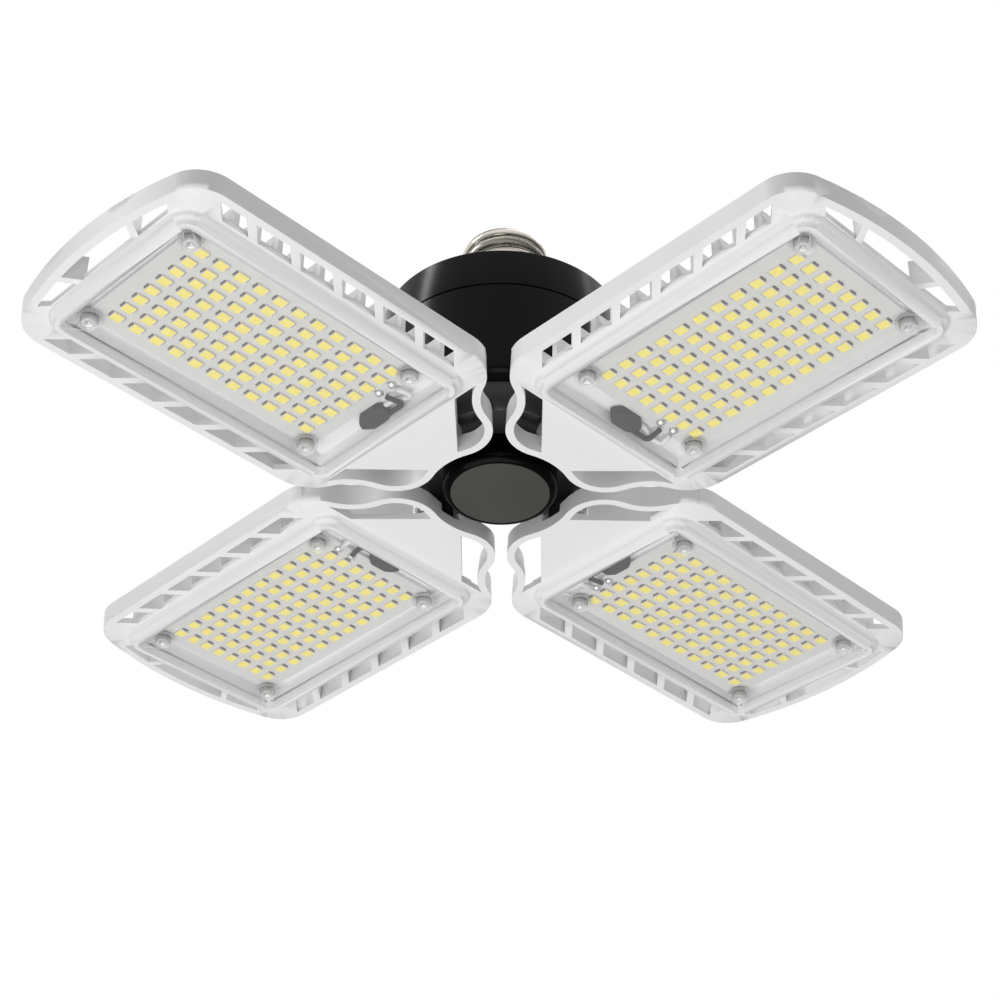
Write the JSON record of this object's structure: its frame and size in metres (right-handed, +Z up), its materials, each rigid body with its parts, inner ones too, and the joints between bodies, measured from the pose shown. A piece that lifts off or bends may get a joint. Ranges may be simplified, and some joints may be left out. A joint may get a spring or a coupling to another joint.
{
  "type": "deformable garage light",
  "caption": "Screw-in ceiling light: a round driver hub with flat LED panels around it, each on its own friction hinge so it can fold down.",
  "frame": {"origin": "flat tip of the centre contact, on the lamp's vertical axis; the whole lamp hangs below it", "axes": "+Z up along the screw base, out of its tip; the panels lie along the diagonals between +X and +Y"},
  "size_m": [0.2488, 0.2488, 0.1014],
  "materials": {
    "white_casting": "white powder coat on die-cast aluminium, satin",
    "clear_lens": "clear moulded polycarbonate, glossy",
    "white_board": "aluminium-core board with white solder mask",
    "led_phosphor": "pale yellow phosphor in a white package",
    "lens_screw_steel": "bright zinc",
    "solder": "bright solder",
    "lead_black": "black silicone insulation",
    "lead_white": "white silicone insulation",
    "black_rubber": "shrunk black sleeve",
    "black_plastic": "black moulded plastic, semi-gloss",
    "cap_black": "black, glossy",
    "cap_disc": "dark olive grey, matte",
    "black_collar": "black powder coat",
    "nickelled_shell": "nickelled rolled steel",
    "contact_metal": "tinned rivet",
    "black_glass": "black insulator",
    "circuit_board": "glass-fibre board",
    "transformer": "ferrite core with a wound coil",
    "capacitor_can": "sleeved can",
    "component_body": "ceramic tube",
    "film_block": "epoxy block",
    "black_component": "moulded package",
    "zinc_steel": "zinc-plated steel"
  },
  "bodies": {
    "hub": {"screw_shell": "nickelled_shell", "base_insulator": "black_glass", "centre_contact": "contact_metal", "housing_cover": "black_plastic", "housing_body": "black_plastic", "driver_board": "circuit_board", "driver_transformer": "transformer", "driver_capacitor": "capacitor_can", "fuse_resistor": "component_body", "bridge_rectifier": "black_component", "film_capacitor": "film_block", "control_chip": "black_component", "mains_leads": "lead_black", "hinge_hub": "black_collar", "hub_screws": "zinc_steel", "hinge_screws": "zinc_steel", "hinge_nuts": "zinc_steel", "hinge_washers": "zinc_steel", "feed_leads": "lead_black", "bottom_cap": "cap_black", "cap_disc": "cap_disc", "cap_screw": "zinc_steel"},
    "panel_1": {"panel_frame_1": "white_casting", "led_board_1": "white_board", "led_chips_1": "led_phosphor", "lens_1": "clear_lens", "lens_screws_1": "lens_screw_steel", "solder_joints_1": "solder", "lead_black_1": "lead_black", "lead_white_1": "lead_white", "lead_sleeve_1": "black_rubber"},
    "panel_2": {"panel_frame_2": "white_casting", "led_board_2": "white_board", "led_chips_2": "led_phosphor", "lens_2": "clear_lens", "lens_screws_2": "lens_screw_steel", "solder_joints_2": "solder", "lead_black_2": "lead_black", "lead_white_2": "lead_white", "lead_sleeve_2": "black_rubber"},
    "panel_3": {"panel_frame_3": "white_casting", "led_board_3": "white_board", "led_chips_3": "led_phosphor", "lens_3": "clear_lens", "lens_screws_3": "lens_screw_steel", "solder_joints_3": "solder", "lead_black_3": "lead_black", "lead_white_3": "lead_white", "lead_sleeve_3": "black_rubber"},
    "panel_4": {"panel_frame_4": "white_casting", "led_board_4": "white_board", "led_chips_4": "led_phosphor", "lens_4": "clear_lens", "lens_screws_4": "lens_screw_steel", "solder_joints_4": "solder", "lead_black_4": "lead_black", "lead_white_4": "lead_white", "lead_sleeve_4": "black_rubber"}
  },
  "joints": [
    {"name": "panel_1_hinge", "type": "hinge", "parent": "hub", "child": "panel_1", "pos_m": [0.0181, 0.0181, -0.0926], "axis": [-0.7071, 0.7071, 0], "range_deg": [0, 25]},
    {"name": "panel_2_hinge", "type": "hinge", "parent": "hub", "child": "panel_2", "pos_m": [-0.0181, 0.0181, -0.0926], "axis": [-0.7071, -0.7071, 0], "range_deg": [0, 25]},
    {"name": "panel_3_hinge", "type": "hinge", "parent": "hub", "child": "panel_3", "pos_m": [-0.0181, -0.0181, -0.0926], "axis": [0.7071, -0.7071, 0], "range_deg": [0, 25]},
    {"name": "panel_4_hinge", "type": "hinge", "parent": "hub", "child": "panel_4", "pos_m": [0.0181, -0.0181, -0.0926], "axis": [0.7071, 0.7071, 0], "range_deg": [0, 25]}
  ]
}
